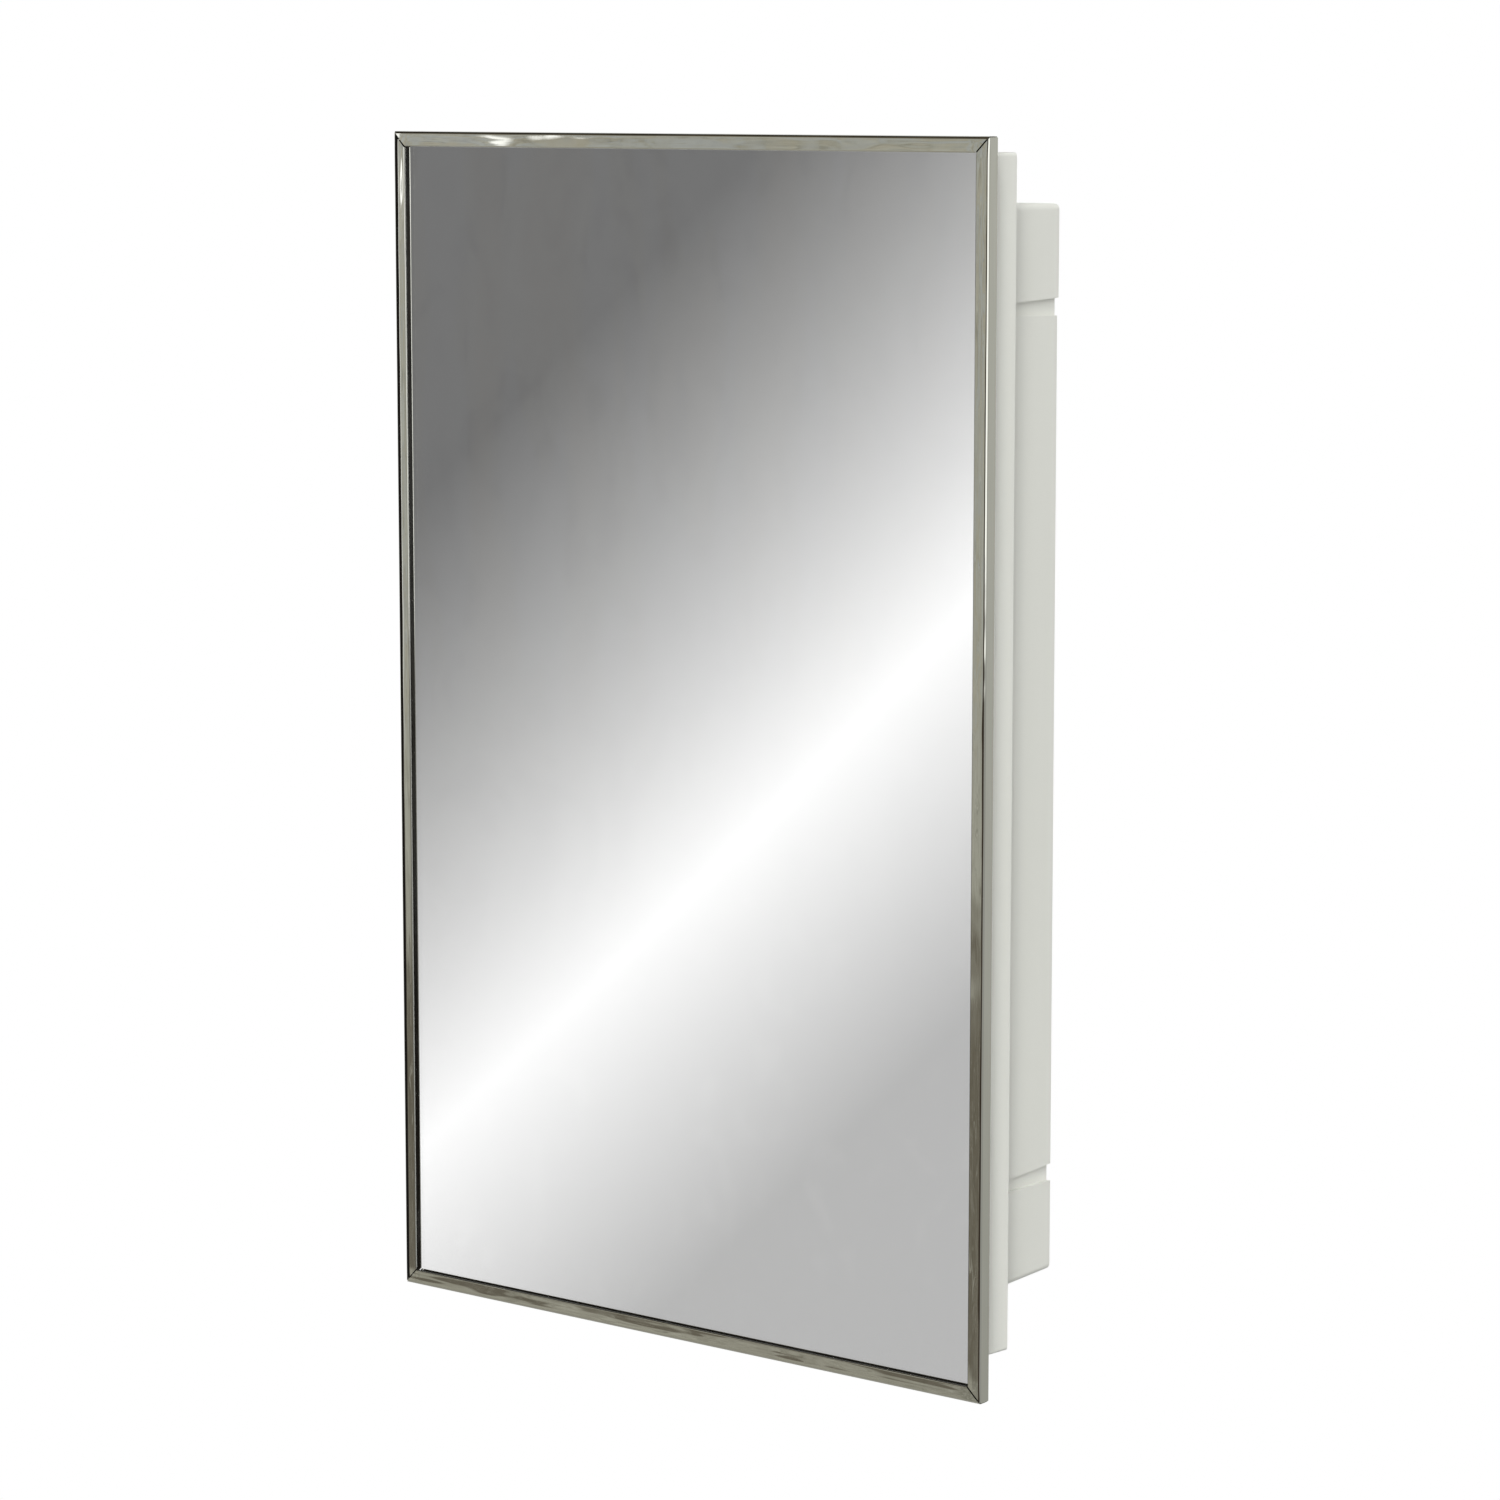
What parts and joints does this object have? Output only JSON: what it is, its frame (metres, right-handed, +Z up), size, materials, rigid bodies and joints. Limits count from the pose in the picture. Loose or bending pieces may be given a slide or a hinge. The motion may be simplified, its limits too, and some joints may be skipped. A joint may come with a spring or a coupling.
{
  "type": "medicine cabinet with mirror",
  "caption": "Recessed or surface-mount medicine cabinet: moulded white body with shelves and a steel-framed mirror door that swings on side hinges and closes on a magnetic catch.",
  "frame": {"origin": "centre of the rear face of the moulded body, which lies on the wall when the cabinet is surface mounted", "axes": "+X to the right seen from the front, +Y into the wall, +Z up; the mirror faces -Y"},
  "size_m": [0.4096, 0.1112, 0.6636],
  "materials": {
    "body_plastic": "semi-gloss off-white moulded polystyrene",
    "frame_steel": "bright roll-formed stainless steel with slight ripples",
    "clear_glass": "clear 3 mm float glass",
    "mirror_silver": "silvered layer, painted behind",
    "kraft_pad": "brown kraft board",
    "panel_board": "white lacquered hardboard",
    "plated_steel": "bright zinc plated",
    "screw_steel": "zinc plated",
    "ferrite": "dull black ferrite",
    "bumper_rubber": "soft translucent white"
  },
  "bodies": {
    "cabinet": {"body_shell": "body_plastic", "catch_housing": "body_plastic", "catch_magnet": "ferrite", "catch_pole_plates": "plated_steel", "catch_screws": "screw_steel", "door_bumpers": "bumper_rubber", "hinge_body_screws": "screw_steel", "hinge_leaf_body_lower": "plated_steel", "hinge_leaf_body_upper": "plated_steel", "hinge_pin_lower": "plated_steel", "hinge_pin_upper": "plated_steel", "shelf_lower": "body_plastic", "shelf_middle": "body_plastic", "shelf_upper": "body_plastic"},
    "door": {"frame_rail_top": "frame_steel", "frame_rail_right": "frame_steel", "frame_rail_bottom": "frame_steel", "frame_rail_left": "frame_steel", "corner_key_top_left": "plated_steel", "corner_key_top_right": "plated_steel", "corner_key_bottom_left": "plated_steel", "corner_key_bottom_right": "plated_steel", "corner_key_screws": "screw_steel", "mirror_glass": "clear_glass", "mirror_silvering": "mirror_silver", "backing_pad": "kraft_pad", "door_back_panel": "panel_board", "hinge_leaf_door_upper": "plated_steel", "hinge_leaf_door_lower": "plated_steel", "hinge_door_rivets": "screw_steel", "strike_plate": "plated_steel", "strike_screws": "screw_steel"}
  },
  "joints": [
    {"name": "door_swing", "type": "hinge", "parent": "cabinet", "child": "door", "pos_m": [-0.197, -0.09995, 0], "axis": [0, 0, -1], "range_deg": [0, 110]}
  ]
}
